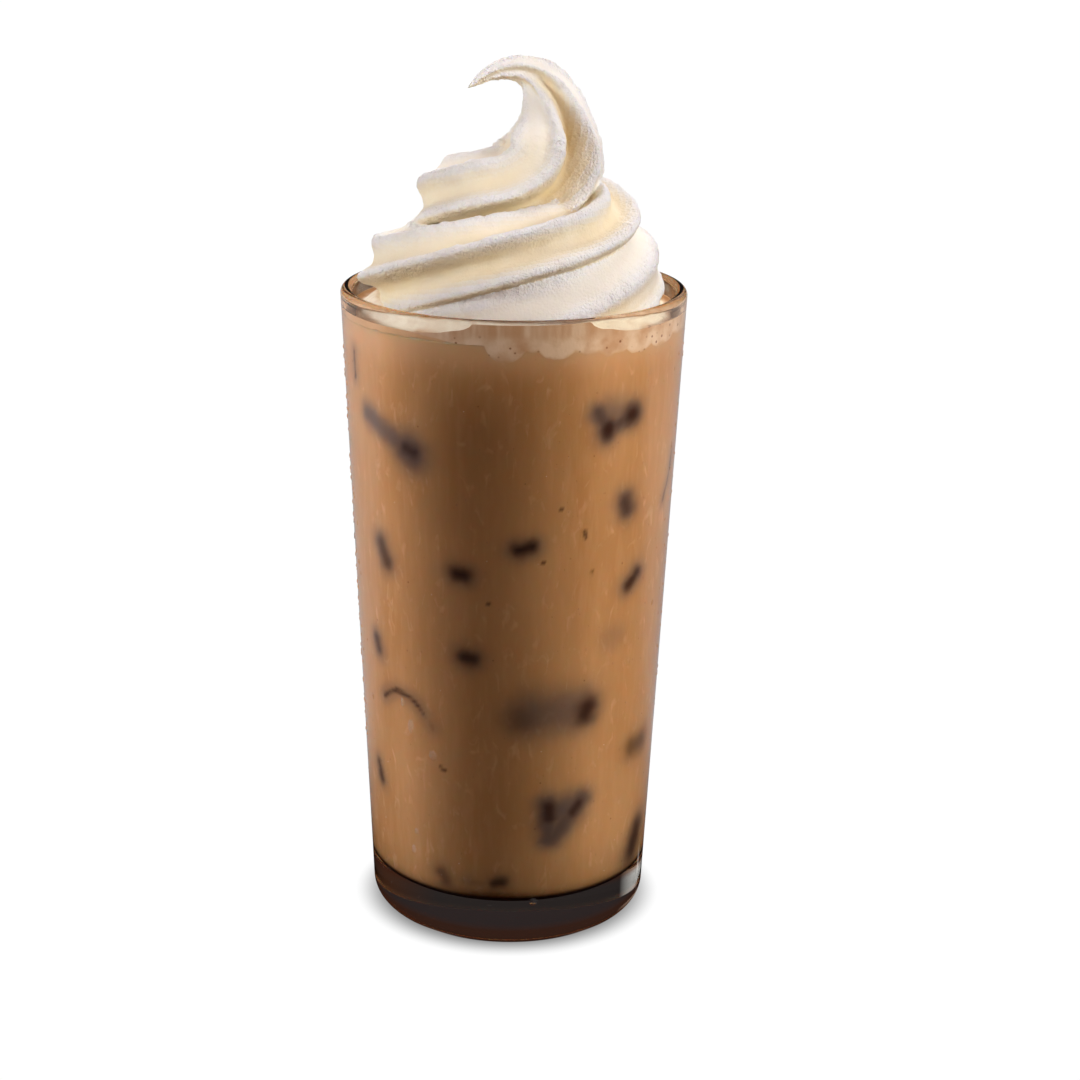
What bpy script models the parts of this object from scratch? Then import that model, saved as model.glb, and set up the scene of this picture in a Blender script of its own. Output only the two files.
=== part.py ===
"""A mocha float: an iced milk drink in a tall tapered glass, with a layer of froth and a swirl of soft serve.

Every size is in millimetres. The origin is at the middle of the base, with +Z up and the front at -Y.
"""
import math

import bmesh
import bpy
import numpy as np

MM = 0.001

# the glass
HEIGHT = 161.3
RIM_RADIUS = 42.0
FOOT_RADIUS = 35.2
FOOT_HEIGHT = 5.1
WALL = 2.7
RIM_ROUND = 1.5
FLOOR_TOP = 11.8
FLOOR_ROUND = 5.0
PUNT_RADIUS = 27.0
PUNT_DEPTH = 1.2
SIDES = 64

# what fills it
LEVEL = 156.5
GAP = 0.3
FROTH_DEPTH = 4.6
FROTH_SCALLOP = 0.54
FROTH_LEAN = 1.2
FROTH_LEANS_TO = 285
SERVE_ROOT_RADIUS = 25.0
SERVE_ROOT_DEPTH = 13.0
SERVE_ROOT_NARROWS = 0.86
SERVE_ROOT_OVERLAP = 6.0
SERVE_GAP = 0.5

# the soft serve: a rope with a star-shaped section, laid in a coil that ends in a hooked tip
LOBES = 7
GROOVE = 0.235
GROOVE_EDGE = 1.7
DEEP_SIDE = 0.5
COIL_CENTRE_X = -1.2
# turns past the front, coil radius, rope radius, twist, rope height, direction of the deep grooves
COIL = [
    (-0.50, 19.0, 12.5, -50, 148.0, 150),
    (0.00, 22.0, 13.3, 14, 157.0, 150),
    (0.25, 24.8, 13.2, 45, 163.8, 150),
    (0.50, 25.2, 12.8, 76, 164.6, 150),
    (0.75, 24.4, 12.2, 108, 163.6, 150),
    (1.00, 22.6, 12.2, 138, 170.6, 155),
    (1.25, 20.4, 12.2, 168, 174.6, 175),
    (1.50, 16.0, 11.6, 208, 178.8, 230),
    (1.72, 11.6, 12.2, 246, 180.4, 290),
]
# x, y, z, rope radius, twist, direction of the deep grooves, how far they close into one cleft
PEAK = [
    (-6.5, -7.2, 183.0, 12.2, 256, 310, 0.2),
    (0.8, -7.4, 184.8, 12.7, 258, 322, 0.35),
    (6.0, -6.0, 188.0, 13.7, 260, 330, 0.6),
    (8.2, -4.0, 192.2, 13.9, 264, 334, 0.8),
    (9.0, -2.2, 196.6, 12.3, 269, 334, 0.9),
    (9.0, -0.8, 201.0, 9.7, 276, 334, 0.9),
    (8.1, 0.2, 205.3, 7.8, 284, 334, 0.8),
    (6.5, 0.5, 208.8, 6.3, 292, 334, 0.6),
    (4.3, 0.4, 211.4, 4.8, 300, 334, 0.4),
    (1.2, 0.2, 212.8, 3.5, 306, 334, 0.2),
    (-3.0, 0.0, 212.6, 2.6, 312, 334, 0.0),
    (-6.2, -0.2, 211.6, 2.0, 318, 334, 0.0),
    (-9.0, -0.4, 210.0, 1.2, 324, 334, 0.0),
    (-11.5, -0.6, 208.2, 0.25, 330, 334, 0.0),
]
# the cleft's half width, and where the grooves beside it grow shallow, in degrees round the rope
CLEFT_WIDTH = 24.0
BESIDE_CLEFT = 51.0
BESIDE_WIDTH = 22.0
CLEFT_DEEPER = 0.75
BESIDE_SHALLOWER = 0.65
ROPE_STATIONS = 260
ROPE_SIDES = 84
BLEND = 0.7
SERVE_TRIANGLES = 7600


def srgb(hex_colour):
    """A linear colour from a hex one."""
    parts = [int(hex_colour[i:i + 2], 16) / 255 for i in (1, 3, 5)]
    return tuple(c / 12.92 if c <= 0.04045 else ((c + 0.055) / 1.055) ** 2.4 for c in parts) + (1.0,)


def finish_of(name, colour, roughness, transmission=0.0, alpha=1.0):
    """A material with the piece's own colour and shine."""
    material = bpy.data.materials.new(name)
    material.use_nodes = True
    surface = material.node_tree.nodes["Principled BSDF"]
    surface.inputs["Base Color"].default_value = srgb(colour)
    surface.inputs["Roughness"].default_value = roughness
    surface.inputs["Metallic"].default_value = 0.0
    surface.inputs["Transmission Weight"].default_value = transmission
    surface.inputs["Alpha"].default_value = alpha
    return material


def outer_radius(height):
    """Outer radius of the glass: a straight taper from foot to rim."""
    share = (height - FOOT_HEIGHT) / (HEIGHT - RIM_ROUND - FOOT_HEIGHT)
    return FOOT_RADIUS + (RIM_RADIUS - FOOT_RADIUS) * share


def inner_radius(height):
    return outer_radius(height) - WALL


def arc(centre_r, centre_z, radius, start, end, count):
    """Points on an arc of a profile, from one angle to another, in degrees."""
    points = []
    for i in range(count + 1):
        a = math.radians(start + (end - start) * i / count)
        points.append((centre_r + radius * math.cos(a), centre_z + radius * math.sin(a)))
    return points


def turned(name, profile, collection, material, sides=SIDES):
    """A solid turned round Z from (radius, height) points that run down its outer side."""
    mesh = bpy.data.meshes.new(name)
    points = [(r * MM, 0.0, z * MM) for r, z in profile]
    mesh.from_pydata(points, [(i, i + 1) for i in range(len(points) - 1)], [])
    piece = bpy.data.objects.new(name, mesh)
    collection.objects.link(piece)
    piece.data.materials.append(material)
    screw = piece.modifiers.new("turn", "SCREW")
    screw.axis = "Z"
    screw.angle = math.tau
    screw.steps = sides
    screw.render_steps = sides
    screw.use_merge_vertices = True
    screw.merge_threshold = 0.00001
    screw.use_smooth_shade = True
    return piece


def as_mesh(piece, collection):
    """The same piece with its modifiers worked into a plain mesh."""
    bpy.context.view_layer.update()
    shape = piece.evaluated_get(bpy.context.evaluated_depsgraph_get())
    mesh = bpy.data.meshes.new_from_object(shape)
    name = piece.name
    bpy.data.objects.remove(piece)
    mesh.name = name
    plain = bpy.data.objects.new(name, mesh)
    collection.objects.link(plain)
    return plain


def smooth_through(at, values, where):
    """A smooth curve through the given values."""
    slope = np.gradient(values, at)
    i = np.clip(np.searchsorted(at, where, side="right") - 1, 0, len(at) - 2)
    step = at[i + 1] - at[i]
    t = np.clip((where - at[i]) / step, 0.0, 1.0)
    start = (2 * t ** 3 - 3 * t ** 2 + 1) * values[i] + (t ** 3 - 2 * t ** 2 + t) * step * slope[i]
    end = (3 * t ** 2 - 2 * t ** 3) * values[i + 1] + (t ** 3 - t ** 2) * step * slope[i + 1]
    return start + end


def rope_path(stations):
    """Centre, radius, twist, deep side and cleft of the soft serve's rope at even steps along it."""
    coil = np.array(COIL)
    turns = np.linspace(coil[0, 0], coil[-1, 0], 70)
    around, rope, twist, height, deep = (smooth_through(coil[:, 0], coil[:, i], turns) for i in range(1, 6))
    angle = np.radians(270.0 + 360.0 * turns)
    x = COIL_CENTRE_X + around * np.cos(angle)
    y = around * np.sin(angle)
    keys = np.vstack([np.column_stack([x, y, height, rope, twist, deep, 0.0 * x]), np.array(PEAK)])
    steps = np.linalg.norm(np.diff(keys[:, :3], axis=0), axis=1)
    along = np.concatenate([[0.0], np.cumsum(steps)])
    where = np.linspace(0.0, along[-1], stations)
    return np.column_stack([smooth_through(along, keys[:, i], where) for i in range(7)])


def groove_depth(star, path):
    """Depth of the grooves as a share of the radius: more on one side, and on the peak most in one cleft."""
    away = np.degrees((star - np.radians(path[:, 5])[:, None] + math.pi) % math.tau - math.pi)
    cleft = np.clip(path[:, 6], 0.0, 1.0)[:, None]
    middle = CLEFT_DEEPER * np.exp(-(away / CLEFT_WIDTH) ** 2)
    beside = BESIDE_SHALLOWER * np.exp(-((np.abs(away) - BESIDE_CLEFT) / BESIDE_WIDTH) ** 2)
    return GROOVE * (1.0 + DEEP_SIDE * np.cos(np.radians(away))) * (1.0 + cleft * (middle - beside))


def rope_points(stations, sides):
    """Points of the rope's skin, one ring of them for each station."""
    path = rope_path(stations)
    centre = path[:, :3]
    forward = np.gradient(centre, axis=0)
    forward /= np.linalg.norm(forward, axis=1, keepdims=True)
    outward = np.zeros_like(centre)
    start = centre[0] - np.array([COIL_CENTRE_X, 0.0, centre[0, 2]])
    for i in range(stations):
        flat = start - forward[i] * (start @ forward[i])
        outward[i] = flat / np.linalg.norm(flat)
        start = outward[i]
    upward = np.cross(outward, forward)
    round_it = np.linspace(0.0, math.tau, sides, endpoint=False)
    star = round_it[None] - np.radians(path[:, 4])[:, None]
    ridge = (0.5 + 0.5 * np.cos(LOBES * star)) ** GROOVE_EDGE
    radius = np.maximum(path[:, 3], 0.1)[:, None] * (1.0 - groove_depth(star, path) * (1.0 - ridge))
    sideways = np.cos(round_it)[None, :, None] * outward[:, None]
    across = sideways + np.sin(round_it)[None, :, None] * upward[:, None]
    return centre[:, None] + radius[..., None] * across


def soft_serve(collection, material):
    """The swirl above the froth, in one piece with the root that floats in the drink."""
    skin = rope_points(ROPE_STATIONS, ROPE_SIDES) * MM
    form = bmesh.new()
    rings = [[form.verts.new(point) for point in ring] for ring in skin]
    for near, far in zip(rings, rings[1:]):
        for j in range(ROPE_SIDES):
            k = (j + 1) % ROPE_SIDES
            form.faces.new((near[j], near[k], far[k], far[j]))
    form.faces.new(rings[0][::-1])
    form.faces.new(rings[-1])
    bmesh.ops.recalc_face_normals(form, faces=form.faces)
    surface = (LEVEL + 2 * GAP) * MM
    everything = form.verts[:] + form.edges[:] + form.faces[:]
    cut = bmesh.ops.bisect_plane(form, geom=everything, plane_co=(0, 0, surface), plane_no=(0, 0, 1),
                                 clear_inner=True)
    edges = [item for item in cut["geom_cut"] if isinstance(item, bmesh.types.BMEdge)]
    bmesh.ops.holes_fill(form, edges=edges)
    root_length = SERVE_ROOT_DEPTH + SERVE_ROOT_OVERLAP
    root = bmesh.ops.create_cone(form, cap_ends=True, segments=48, depth=root_length * MM,
                                 radius1=SERVE_ROOT_RADIUS * SERVE_ROOT_NARROWS * MM,
                                 radius2=SERVE_ROOT_RADIUS * MM)
    middle = (LEVEL + SERVE_ROOT_OVERLAP - root_length / 2) * MM
    bmesh.ops.translate(form, verts=root["verts"], vec=(0, 0, middle))
    mesh = bpy.data.meshes.new("soft_serve")
    form.to_mesh(mesh)
    form.free()
    piece = bpy.data.objects.new("soft_serve", mesh)
    collection.objects.link(piece)
    blend = piece.modifiers.new("blend", "REMESH")
    blend.mode = "VOXEL"
    blend.voxel_size = BLEND * MM
    blend.use_smooth_shade = True
    piece = as_mesh(piece, collection)
    piece.data.materials.clear()
    piece.data.materials.append(material)
    triangles = sum(len(face.vertices) - 2 for face in piece.data.polygons)
    thin = piece.modifiers.new("thin", "DECIMATE")
    thin.ratio = SERVE_TRIANGLES / triangles
    return piece


def froth_underside(angle):
    """How far below the level the froth reaches at the wall: scalloped, and deepest at the front right."""
    scallops = math.sin(5 * angle + 0.6) + 0.7 * math.sin(8 * angle + 2.1)
    return FROTH_DEPTH + FROTH_SCALLOP * scallops + FROTH_LEAN * math.cos(angle - math.radians(FROTH_LEANS_TO))


def follow_froth(piece, low, high):
    """Moves what lies between two heights down to the froth's underside, all the way round."""
    for vertex in piece.data.vertices:
        z = vertex.co.z / MM
        if low < z < high:
            angle = math.atan2(vertex.co.y, vertex.co.x)
            z -= froth_underside(angle) - FROTH_DEPTH
            vertex.co.z = z * MM
            if vertex.co.xy.length > 0.9 * inner_radius(z) * MM:
                vertex.co.xy *= (inner_radius(z) - GAP) * MM / vertex.co.xy.length


def main():
    for item in list(bpy.data.objects):
        bpy.data.objects.remove(item)
    scene = bpy.context.scene
    pieces = bpy.data.collections.new("mocha float")
    scene.collection.children.link(pieces)

    clear_glass = finish_of("soda-lime glass", "#EDEFEE", 0.02, transmission=0.9, alpha=0.35)
    mocha = finish_of("iced mocha", "#8A5630", 0.35)
    foam = finish_of("milk froth", "#CDA98C", 0.6)
    cream = finish_of("vanilla soft serve", "#F4EEDF", 0.55)

    foot = arc(FOOT_RADIUS - FOOT_HEIGHT, FOOT_HEIGHT, FOOT_HEIGHT, 0, -90, 6)
    rim = arc(RIM_RADIUS - RIM_ROUND, HEIGHT - RIM_ROUND, RIM_ROUND, 180, 0, 8)
    bowl_side = inner_radius(FLOOR_TOP + FLOOR_ROUND)
    bowl = arc(bowl_side - FLOOR_ROUND, FLOOR_TOP + FLOOR_ROUND, FLOOR_ROUND, -90, 0, 6)
    punt = [(PUNT_RADIUS, 0.0), (PUNT_RADIUS - 2.0, PUNT_DEPTH), (0.0, PUNT_DEPTH)]
    heights = [HEIGHT * share for share in (0.25, 0.5, 0.75)]
    outside = [(outer_radius(z), z) for z in reversed(heights)]
    inside = [(inner_radius(z), z) for z in heights]
    profile = [(0.0, FLOOR_TOP)] + bowl + inside + rim + outside + foot + punt
    turned("glass", profile, pieces, clear_glass)

    root_low = LEVEL - SERVE_ROOT_DEPTH - SERVE_GAP
    root_wide = SERVE_ROOT_RADIUS + SERVE_GAP
    root_narrow = SERVE_ROOT_RADIUS * SERVE_ROOT_NARROWS + SERVE_GAP
    drink_top = LEVEL - FROTH_DEPTH - GAP
    hold = [(bowl_side - FLOOR_ROUND, FLOOR_TOP + GAP)]
    bowl_arc = arc(bowl_side - FLOOR_ROUND, FLOOR_TOP + FLOOR_ROUND, FLOOR_ROUND, 0, -80, 5)
    side = [(r - GAP, z) for r, z in bowl_arc]
    drink_profile = [(0.0, root_low), (root_narrow, root_low), (root_wide, drink_top),
                     (inner_radius(drink_top) - GAP, drink_top), (inner_radius(90.0) - GAP, 90.0)]
    drink = turned("drink", drink_profile + side + hold + [(0.0, FLOOR_TOP + GAP)], pieces, mocha)
    drink = as_mesh(drink, pieces)
    follow_froth(drink, drink_top - 1.0, drink_top + 1.0)

    froth_low = LEVEL - FROTH_DEPTH
    froth_profile = [(root_wide, froth_low), (root_wide, LEVEL), (inner_radius(LEVEL) - GAP, LEVEL),
                     (inner_radius(froth_low) - GAP, froth_low), (root_wide, froth_low)]
    froth = as_mesh(turned("froth", froth_profile, pieces, foam), pieces)
    follow_froth(froth, froth_low - 0.5, froth_low + 0.5)

    soft_serve(pieces, cream)


main()
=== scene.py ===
"""A mocha float in a tall tapered glass: iced mocha, a froth layer and a swirl of vanilla soft serve.

Sizes below are in millimetres. The front is at -Y and the floor at Z = 0.
"""
import math

import bmesh
import bpy
import numpy as np
from mathutils import Matrix, Vector, kdtree


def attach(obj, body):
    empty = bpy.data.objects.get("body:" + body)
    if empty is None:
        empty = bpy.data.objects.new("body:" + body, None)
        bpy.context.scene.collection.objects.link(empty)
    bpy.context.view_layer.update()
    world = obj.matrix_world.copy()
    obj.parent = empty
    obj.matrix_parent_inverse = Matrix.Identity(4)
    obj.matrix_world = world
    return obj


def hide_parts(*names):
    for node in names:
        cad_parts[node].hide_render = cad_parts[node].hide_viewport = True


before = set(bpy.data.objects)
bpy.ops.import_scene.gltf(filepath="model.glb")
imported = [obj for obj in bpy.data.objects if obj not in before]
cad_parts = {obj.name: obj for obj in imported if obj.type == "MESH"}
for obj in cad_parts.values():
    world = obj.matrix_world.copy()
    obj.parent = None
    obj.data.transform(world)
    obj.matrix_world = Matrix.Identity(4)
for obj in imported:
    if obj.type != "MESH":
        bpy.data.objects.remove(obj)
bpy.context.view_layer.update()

MM = 0.001

# the glass, as the solid model has it
HEIGHT = 161.3
RIM_RADIUS = 42.0
FOOT_RADIUS = 35.2
FOOT_HEIGHT = 5.1
WALL = 2.7
RIM_ROUND = 1.5
FLOOR_TOP = 11.8
FLOOR_ROUND = 5.0
PUNT_RADIUS = 27.0
PUNT_DEPTH = 1.2
GLASS_SIDES = 320
# painted glints on the foot, glowing white where a soft box would meet it: direction, half width in degrees,
# height, half height, brightness
PAINTED_GLINTS = [(236.0, 9.0, 0.9, 0.5, 0.6), (307.0, 8.0, 0.9, 0.5, 0.5), (341.0, 1.2, 13.0, 4.0, 0.7)]

# what fills it
LEVEL = 156.5
INTO_WALL = 0.2
# the drink's edge is this far below the froth's top, and its lid a little lower still
LID_BELOW = 0.7
LID_HOLLOW = 1.8
# the froth's least depth, how far it rises to the soft serve, and the lobes it hangs down in: direction, half
# width in degrees, depth
FROTH_THIN = 1.1
COLLAR_RISE = 2.8
FROTH_LOBES = [(267.3, 7.0, 4.5), (277.0, 5.0, 1.7), (284.7, 7.0, 3.9), (295.0, 7.0, 3.0), (305.0, 7.5, 3.7),
               (316.5, 8.0, 4.2), (329.0, 9.0, 4.1), (343.0, 10.0, 3.0), (356.0, 9.0, 1.5), (95.0, 60.0, 2.0)]
# the film of foam above it on the wall: direction of its middle, half width in degrees, height
FILM_MIDDLE = 276.0
FILM_SPREAD = 24.0
FILM_HEIGHT = 3.2

# the soft serve's rope
LOBES = 7
GROOVE = 0.235
GROOVE_EDGE = 1.7
DEEP_SIDE = 0.5
COIL_CENTRE_X = -1.2
# turns past the front, coil radius, rope radius, twist, rope height, direction of the deep grooves
COIL = [
    (-0.50, 19.0, 12.5, -50, 148.0, 150),
    (0.00, 22.0, 13.3, 14, 157.0, 150),
    (0.25, 24.8, 13.2, 45, 163.8, 150),
    (0.50, 25.2, 12.8, 76, 164.6, 150),
    (0.75, 24.4, 12.2, 108, 163.6, 150),
    (1.00, 22.6, 12.2, 138, 170.6, 155),
    (1.25, 20.4, 12.2, 168, 174.6, 175),
    (1.50, 16.0, 11.6, 208, 178.8, 230),
    (1.72, 11.6, 12.2, 246, 180.4, 290),
]
# x, y, z, rope radius, twist, direction of the deep grooves, how far they close into one cleft
PEAK = [
    (-6.5, -7.2, 183.0, 12.2, 256, 310, 0.2),
    (0.8, -7.4, 184.8, 12.7, 258, 322, 0.35),
    (6.0, -6.0, 188.0, 13.7, 260, 330, 0.6),
    (8.2, -4.0, 192.2, 13.9, 264, 334, 0.8),
    (9.0, -2.2, 196.6, 12.3, 269, 334, 0.9),
    (9.0, -0.8, 201.0, 9.7, 276, 334, 0.9),
    (8.1, 0.2, 205.3, 7.8, 284, 334, 0.8),
    (6.5, 0.5, 208.8, 6.3, 292, 334, 0.6),
    (4.3, 0.4, 211.4, 4.8, 300, 334, 0.4),
    (1.2, 0.2, 212.8, 3.5, 306, 334, 0.2),
    (-3.0, 0.0, 212.6, 2.6, 312, 334, 0.0),
    (-6.2, -0.2, 211.6, 2.0, 318, 334, 0.0),
    (-9.0, -0.4, 210.0, 1.2, 324, 334, 0.0),
    (-11.5, -0.6, 208.2, 0.25, 330, 334, 0.0),
]
# the cleft's half width, and where the grooves beside it grow shallow, in degrees round the rope
CLEFT_WIDTH = 24.0
BESIDE_CLEFT = 51.0
BESIDE_WIDTH = 22.0
CLEFT_DEEPER = 0.75
BESIDE_SHALLOWER = 0.65
ROPE_STATIONS = 620
ROPE_SIDES = 168
BLEND = 0.42
# the depth at which a groove's painted shade is at its yellowest, and that of the tears
PAINTED_SHADE_FULL_DEPTH = 8.0
TEAR = 0.19

# where ice touches the wall, as strokes: angle round the glass and height of the stroke's middle, half width,
# its points along the wall and up from the middle, darkness, haze round it
ICE_TOUCHES = [
    (202.0, 145.0, 0.5, [(0, -3.2), (0, 3.2)], 0.8, 0.4),
    (231.5, 128.2, 1.3, [(-14, 6), (-7, 3.2), (0, 0)], 0.05, 0.9),
    (231.5, 128.2, 3.0, [(-0.5, 0.3), (1.2, -0.8)], 0.25, 1.0),
    (231.5, 128.2, 1.5, [(-0.5, 0.5), (1.8, -0.5)], 0.8, 1.0),
    (304.0, 133.6, 1.1, [(-2.6, 5), (0, 0.4), (6.8, 3)], 0.5, 0.95),
    (304.0, 133.6, 2.0, [(0, 0.2), (0.2, 0.8)], 1.0, 0.95),
    (304.0, 133.6, 2.2, [(6.8, 3.0), (7.2, 3.2)], 1.0, 0.95),
    (304.0, 133.6, 2.8, [(0.2, 4.0), (3.4, 3.6)], 0.0, 0.75),
    (314.5, 114.4, 1.7, [(-0.4, 1.1), (0.4, -1.1)], 0.7, 0.9),
    (344.0, 117.0, 0.5, [(1.5, 5.5), (0, 0), (-3, -5.5)], 0.5, 0.4),
    (216.7, 100.4, 1.7, [(-1.0, 2.2), (1.0, -2.2)], 0.65, 0.7),
    (251.8, 99.2, 1.6, [(-1.0, 0.1), (0.9, -0.1)], 1.0, 0.6),
    (274.9, 106.5, 1.4, [(-1.6, -0.3), (1.6, 0.4)], 1.0, 0.7),
    (320.4, 94.6, 1.3, [(-1.5, -1.2), (1.7, 1.5)], 0.95, 0.7),
    (183.5, 101.5, 0.7, [(0, -5), (0, 5)], 0.7, 0.2),
    (209.5, 75.0, 1.2, [(-0.6, 1.5), (0.6, -1.4)], 0.7, 0.6),
    (254.2, 78.2, 1.6, [(-1.1, 0), (1.1, -0.3)], 0.95, 0.6),
    (221.0, 65.0, 0.5, [(-5, -3), (-2.5, -1), (0, 0.1), (3, -0.2), (5.4, -1), (7, -2.2), (8.5, -4)],
     0.85, 0.5),
    (221.0, 65.0, 0.4, [(8.5, -4), (11, -7)], 0.2, 0.3),
    (287.0, 63.0, 4.8, [(-4.5, 0.7), (6.0, 0.8)], 0.0, 0.8),
    (287.0, 63.0, 2.8, [(2, 2.6), (7, 3)], 0.0, 0.75),
    (287.0, 63.0, 3.4, [(-9.0, -0.6), (-8.4, -0.8)], 0.40, 0.0),
    (287.0, 63.0, 2.6, [(8.4, -0.7), (9.0, 0.9)], 0.95, 0.8),
    (331.5, 48.6, 3.2, [(-2.0, 0), (2.4, 0)], 0.7, 0.1),
    (205.8, 40.0, 1.1, [(-0.7, 2), (0.7, -2)], 0.85, 0.5),
    (293.0, 35.4, 1.5, [(-4.2, 4), (-3.6, -5.6)], 0.25, 0.95),
    (293.0, 35.4, 1.7, [(4.4, 4), (-2.6, -5.4)], 0.25, 0.95),
    (293.0, 35.4, 3.0, [(-2.2, 1.4), (1.8, 2.0)], 0.1, 0.95),
    (293.0, 35.4, 1.5, [(-3.9, 3.2), (-3.7, 0)], 0.9, 0.95),
    (293.0, 35.4, 1.3, [(3.8, 2.9), (2.2, 0.8)], 0.85, 0.95),
    (334.0, 20.6, 2.9, [(2.4, 3.4), (0.8, 0), (0, -2.2)], 0.85, 0.7),
    (242.3, 17.8, 1.4, [(-0.5, 0.9), (0.5, -0.9)], 0.55, 0.3),
    (266.0, 17.8, 1.4, [(-0.9, -0.2), (0.9, 0.3)], 0.9, 0.3),
    (256.0, 17.4, 0.7, [(-2.5, 0), (2.5, 0)], 0.25, 0.2),
    (312.0, 81.0, 1.6, [(-1, 0), (1, 0)], 0.0, 0.3),
    (40.0, 128.0, 1.4, [(-1.4, 0), (1.4, 0.6)], 0.9, 0.8),
    (78.0, 104.0, 1.8, [(-2, 1), (2, -1)], 0.9, 0.8),
    (118.0, 132.0, 1.4, [(0, -2), (0.4, 2)], 0.8, 0.7),
    (150.0, 92.0, 1.4, [(-2, -0.6), (2, 0.6)], 0.9, 0.7),
    (102.0, 62.0, 3.6, [(-4, 0), (5, 1)], 0.1, 0.9),
    (102.0, 62.0, 1.8, [(6, -1), (7, 2)], 0.95, 0.9),
    (60.0, 44.0, 1.4, [(-1, 2), (1, -2)], 0.85, 0.8),
    (140.0, 36.0, 1.4, [(-1.6, 0.4), (1.6, -0.4)], 0.85, 0.6),
    (20.0, 76.0, 1.2, [(-0.8, 2), (0.8, -2)], 0.8, 0.6),
    (92.0, 22.0, 1.4, [(-1.6, 0), (1.6, 0)], 0.8, 0.5),
]
# how far the dark core reaches, in half widths, and the haze round it, in millimetres; how sharply each ends
CORE_REACH = 1.15
CORE_EDGE = 2.2
HAZE_REACH = 2.1
HAZE_EDGE = 2.6
# the cubes: direction, height, turn
ICE_SPOTS = [(222, 129, 20), (309, 134, 22), (80, 104, 50), (118, 130, 35), (216, 99, 10), (264, 101, 62),
             (318, 106, 28), (150, 92, 15), (254, 72, 40), (288, 63, 8), (20, 76, 33), (212, 60, 20),
             (102, 62, 5), (60, 44, 40), (290, 36, 30), (335, 40, 12), (140, 36, 25), (222, 32, 48)]
# a cube's size, how far its middle is from the wall, and how much more it is tipped than turned
ICE_SIZE = 20.0
ICE_INSIDE = 17.5
ICE_TIP = 1.7
# grit in the drink that shows as dark flecks: strokes like the ice's, without darkness and haze
FLECKS = [(296.9, 109.1, 0.35, [(-0.2, 0.8), (0.3, -0.8)]), (243.0, 47.5, 0.3, [(-0.7, 0.3), (0.7, -0.3)]),
          (281.5, 102.8, 0.3, [(0, 0), (0.1, 0)]), (287.5, 116.0, 0.3, [(0, 0), (0.1, 0)]),
          (300.5, 99.0, 0.3, [(0, 0), (0.1, 0)]), (262.0, 92.5, 0.35, [(0, 0), (0.1, 0)])]
# larger drops of water on the outside: angle, height, width, length
DROPS = [(240.1, 51.0, 2.2, 2.8), (230.0, 57.4, 1.9, 3.6), (231.2, 29.0, 1.5, 1.9), (229.3, 23.6, 1.6, 2.4),
         (280.3, 13.2, 2.0, 2.2), (226.0, 63.0, 1.2, 2.4), (334.0, 86.0, 1.4, 1.6), (205.0, 60.0, 1.5, 1.8)]
# height of a drop as a share of its width, and how far each is sunk in the wall
DROP_SHAPE = 0.16
SUNK = 0.06

# the studio: the room's light, and the power of each soft box in watts, those for the soft serve apart
ROOM = "#FF9662"
ROOM_STRENGTH = 0.15
RIGHT, LEFT, TOP, BACK = 4.9, 5.3, 2.9, 3.0
CREAM_RIGHT, CREAM_LEFT, CREAM_FRONT = 3.1, 2.7, 0.5
# where the side boxes stand, in degrees right of the camera and up; their size and how far boxes and cards
# are, in metres
RIGHT_SIDE = (50, 24)
LEFT_SIDE = (-70, 18)
RIGHT_SIZE = (0.16, 0.22)
LEFT_SIZE = (0.12, 0.24)
BOX_FAR = 0.65
CARD_FAR = 0.115
# the sweep's white, and the oval of painted shade round the foot, in metres
SWEEP_WHITE = 1.02
SHADE_SHIFT = (0.0002, 0.0, 0.0)
SHADE_WIDE = 0.0409
SHADE_LONG = 0.0394
# the camera: how far it is and how high it aims, in metres, how far it looks down and how far it is turned
CAMERA_FAR = 0.5507
CAMERA_AIM = 0.0962
CAMERA_DOWN = 18.10
CAMERA_TURN = 0.613


def tint(hex_colour):
    """The linear colour of an sRGB hex one."""
    parts = [int(hex_colour[i:i + 2], 16) / 255 for i in (1, 3, 5)]
    return tuple(c / 12.92 if c <= 0.04045 else ((c + 0.055) / 1.055) ** 2.4 for c in parts) + (1.0,)


def outer_radius(height):
    """Outer radius of the glass: a straight taper from foot to rim."""
    share = (height - FOOT_HEIGHT) / (HEIGHT - RIM_ROUND - FOOT_HEIGHT)
    return FOOT_RADIUS + (RIM_RADIUS - FOOT_RADIUS) * share


def inner_radius(height):
    return outer_radius(height) - WALL


def smoothstep(low, high, value):
    t = np.clip((value - low) / (high - low), 0.0, 1.0)
    return t * t * (3.0 - 2.0 * t)


def lumps(points, size, seed=0):
    """Smooth unevenness from -1 to 1 over points, with lumps of about the given size."""
    cell = points / size + 17.0
    low = np.floor(cell).astype(np.int64)
    t = cell - low
    t = t * t * (3.0 - 2.0 * t)
    total = np.zeros(len(points))
    for corner in range(8):
        step = np.array([corner & 1, (corner >> 1) & 1, corner >> 2])
        k = low + step
        mixed = (k[:, 0] * 73856093) ^ (k[:, 1] * 19349663) ^ (k[:, 2] * 83492791) ^ (seed * 2654435761)
        mixed = ((mixed ^ (mixed >> 13)) * 1274126177) & 0x7FFFFFFF
        value = ((mixed ^ (mixed >> 16)) & 0xFFFF) / 32767.5 - 1.0
        total += value * np.prod(np.where(step, t, 1.0 - t), axis=1)
    return total


def placed(name, mesh, material, smooth=True):
    """An object of that mesh, in the scene, with one material."""
    piece = bpy.data.objects.new(name, mesh)
    bpy.context.scene.collection.objects.link(piece)
    if material:
        mesh.materials.clear()
        mesh.materials.append(material)
    if smooth:
        mesh.shade_smooth()
    return piece


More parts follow.
